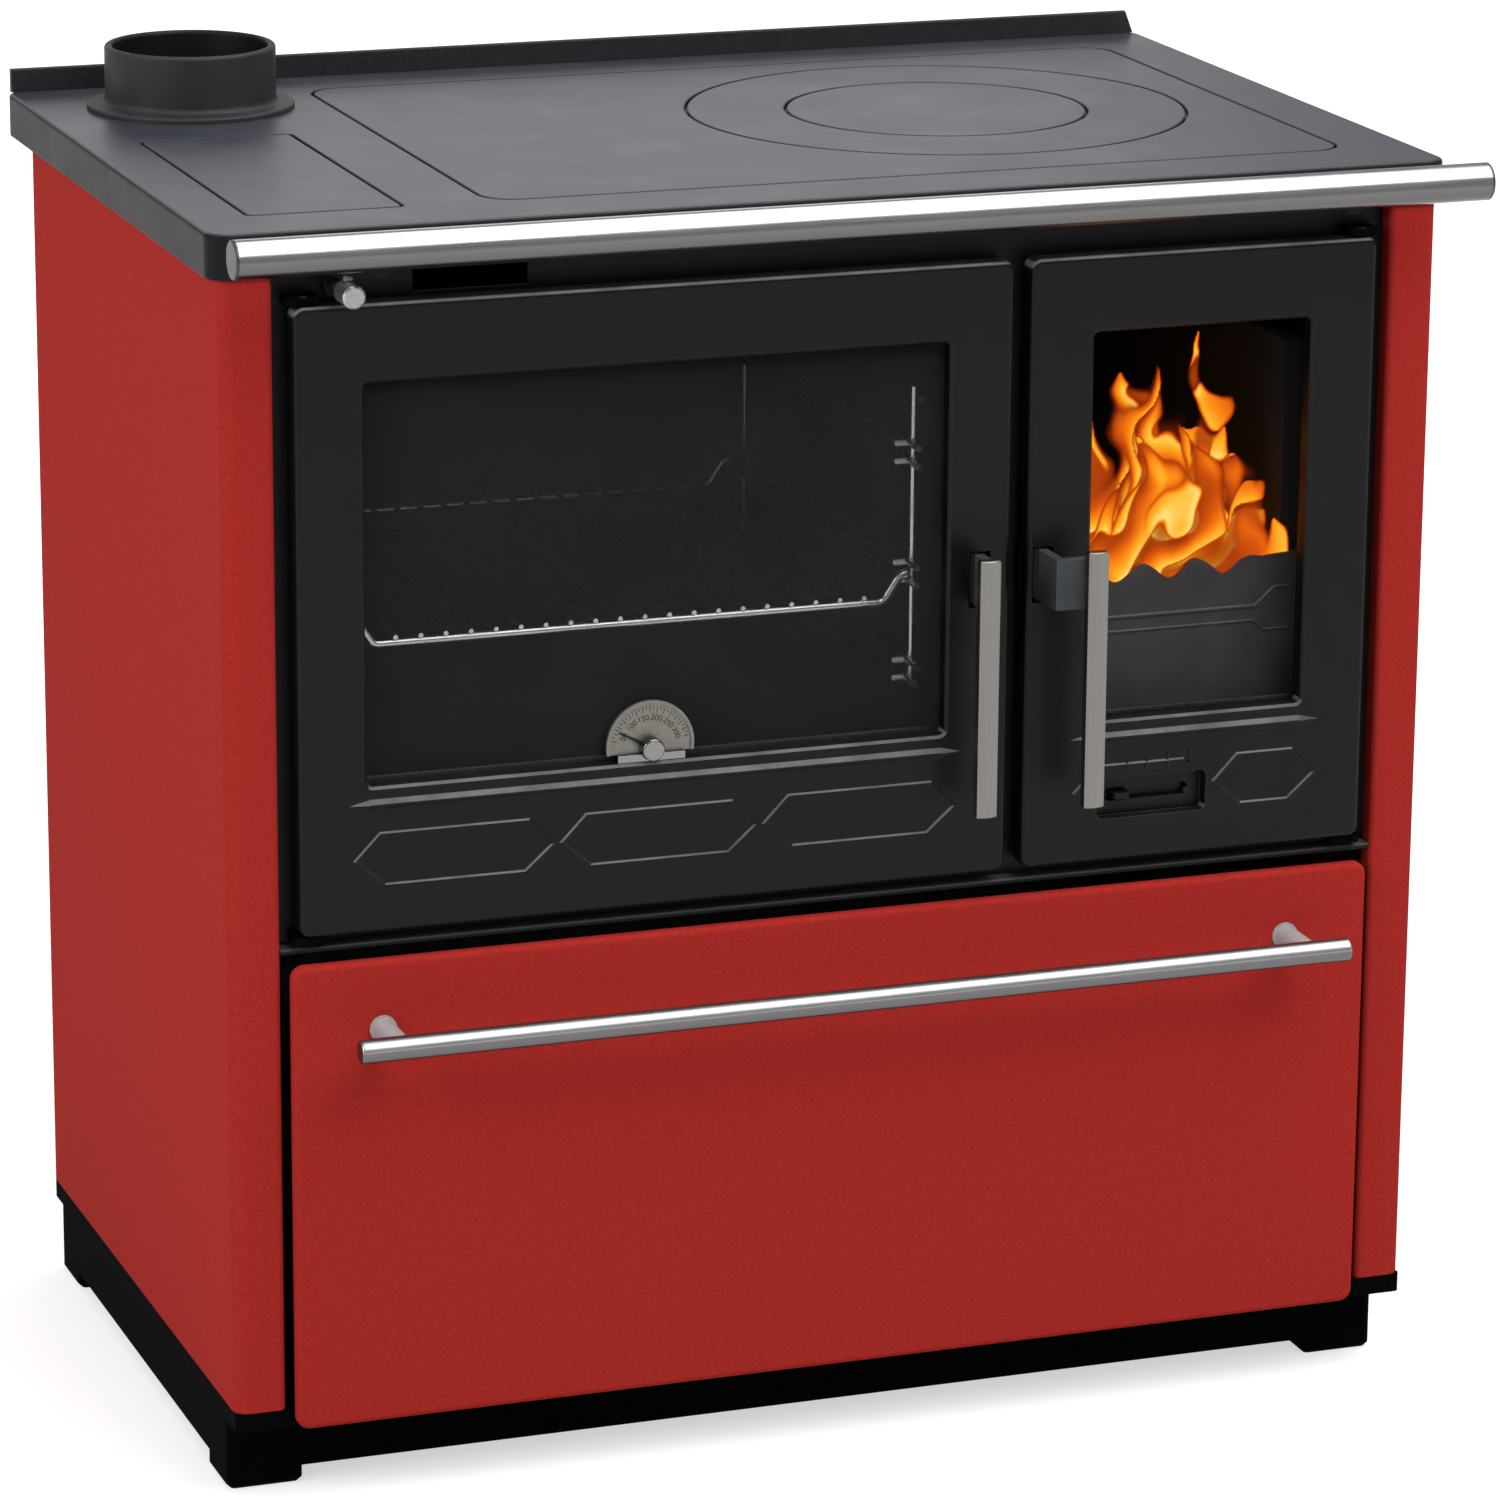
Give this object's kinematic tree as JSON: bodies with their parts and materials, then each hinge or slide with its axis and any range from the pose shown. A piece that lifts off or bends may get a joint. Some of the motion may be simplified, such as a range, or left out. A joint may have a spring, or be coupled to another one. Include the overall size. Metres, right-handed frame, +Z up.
{
  "type": "wood cookstove",
  "caption": "Wood-fired kitchen range with a glazed oven door, a glazed fire door, a hob with a flue collar, a hand rail and a wood drawer.",
  "frame": {"origin": "on the floor, under the middle of the whole range", "axes": "+Z up, +X to the right seen from the front, the doors face -Y"},
  "size_m": [0.85, 0.606, 0.8935],
  "materials": {
    "red_enamel": "satin red enamel on sheet steel",
    "black_sheet": "matt black heat-resistant paint on sheet steel",
    "hob_iron": "ground matt dark cast iron",
    "door_iron": "satin black painted cast iron",
    "rail_steel": "polished stainless steel",
    "satin_steel": "satin stainless steel",
    "plain_steel": "plain dark mild steel",
    "zinc_sheet": "galvanised sheet steel",
    "oven_enamel": "dark vitreous enamel",
    "heat_glass": "clear ceramic glass, slightly smoked",
    "firebrick": "vermiculite firebrick",
    "seal_rope": "woven glass-fibre rope",
    "dial_face": "printed dial",
    "needle_paint": "painted pointer"
  },
  "bodies": {
    "stove": {"left_side_panel": "red_enamel", "right_side_panel": "red_enamel", "base_plinth": "black_sheet", "plinth_feet": "black_sheet", "base_tray": "black_sheet", "front_frame": "black_sheet", "latch_strikes": "black_sheet", "hinge_brackets": "black_sheet", "rear_upstand": "black_sheet", "hob_frame": "hob_iron", "flue_collar": "hob_iron", "log_guard": "door_iron", "fire_grate": "door_iron", "hand_rail": "rail_steel", "rail_end_caps": "rail_steel", "oven_runner_left": "satin_steel", "oven_runner_right": "satin_steel", "rail_brackets": "plain_steel", "hinge_pins": "plain_steel", "damper_bush": "plain_steel", "flue_divider": "plain_steel", "back_panel_screws": "plain_steel", "firebox_shell": "plain_steel", "back_panel": "zinc_sheet", "drawer_runners": "zinc_sheet", "oven_box": "oven_enamel", "firebricks": "firebrick"},
    "oven_door": {"oven_door": "door_iron", "oven_glass": "heat_glass", "oven_glass_retainers": "plain_steel", "oven_door_seal": "seal_rope", "oven_latch_pin": "plain_steel", "thermometer_dial": "dial_face", "thermometer_bracket": "rail_steel", "thermometer_hub": "rail_steel"},
    "oven_handle": {"oven_latch_lever": "door_iron", "oven_grip": "satin_steel"},
    "needle": {"thermometer_needle": "needle_paint"},
    "fire_door": {"fire_door": "door_iron", "fire_glass": "heat_glass", "fire_glass_retainers": "plain_steel", "fire_door_seal": "seal_rope", "fire_latch_pin": "plain_steel", "slider_guides": "plain_steel"},
    "fire_handle": {"fire_latch_lever": "door_iron", "fire_grip": "satin_steel"},
    "air_slider": {"air_slider": "plain_steel"},
    "drawer": {"drawer_front": "red_enamel", "drawer_box": "zinc_sheet", "drawer_handle_bar": "satin_steel", "drawer_handle_posts": "satin_steel"},
    "damper": {"damper_rod": "plain_steel", "damper_knob": "rail_steel", "damper_plate": "plain_steel"},
    "hotplate": {"hotplate": "hob_iron"},
    "ring": {"outer_ring": "hob_iron"},
    "lid": {"lid_disc": "hob_iron"},
    "cleaning_cover": {"cleaning_cover": "hob_iron"},
    "oven_rack": {"oven_rack": "satin_steel"},
    "ash_pan": {"ash_pan": "plain_steel"}
  },
  "joints": [
    {"name": "oven_door_hinge", "type": "hinge", "parent": "stove", "child": "oven_door", "pos_m": [-0.364, -0.2335, 0.596], "axis": [0, 0, -1], "range_deg": [0, 110]},
    {"name": "oven_handle_turn", "type": "hinge", "parent": "oven_door", "child": "oven_handle", "pos_m": [0.0915, -0.2335, 0.591], "axis": [0, 0, -1], "range_deg": [0, 20]},
    {"name": "thermometer_turn", "type": "hinge", "parent": "oven_door", "child": "needle", "pos_m": [-0.134, -0.2334, 0.4955], "axis": [0, 1, 0], "range_deg": [0, 130]},
    {"name": "fire_door_hinge", "type": "hinge", "parent": "stove", "child": "fire_door", "pos_m": [0.363, -0.2335, 0.596], "axis": [0, 0, 1], "range_deg": [0, 110]},
    {"name": "fire_handle_turn", "type": "hinge", "parent": "fire_door", "child": "fire_handle", "pos_m": [0.1365, -0.2335, 0.591], "axis": [0, 0, 1], "range_deg": [0, 20]},
    {"name": "air_slide", "type": "slide", "parent": "fire_door", "child": "air_slider", "axis": [1, 0, 0], "range_m": [0, 0.03]},
    {"name": "drawer_slide", "type": "slide", "parent": "stove", "child": "drawer", "axis": [0, -1, 0], "range_m": [0, 0.38]},
    {"name": "damper_slide", "type": "slide", "parent": "stove", "child": "damper", "axis": [0, -1, 0], "range_m": [0, 0.07]},
    {"name": "hotplate_lift", "type": "slide", "parent": "stove", "child": "hotplate", "axis": [0, 0, 1], "range_m": [0, 0.06]},
    {"name": "ring_lift", "type": "slide", "parent": "hotplate", "child": "ring", "axis": [0, 0, 1], "range_m": [0, 0.05]},
    {"name": "lid_lift", "type": "slide", "parent": "ring", "child": "lid", "axis": [0, 0, 1], "range_m": [0, 0.05]},
    {"name": "cover_lift", "type": "slide", "parent": "stove", "child": "cleaning_cover", "axis": [0, 0, 1], "range_m": [0, 0.06]},
    {"name": "rack_slide", "type": "slide", "parent": "stove", "child": "oven_rack", "axis": [0, -1, 0], "range_m": [0, 0.03]},
    {"name": "ash_pan_slide", "type": "slide", "parent": "stove", "child": "ash_pan", "axis": [0, -1, 0], "range_m": [0, 0.012]}
  ]
}
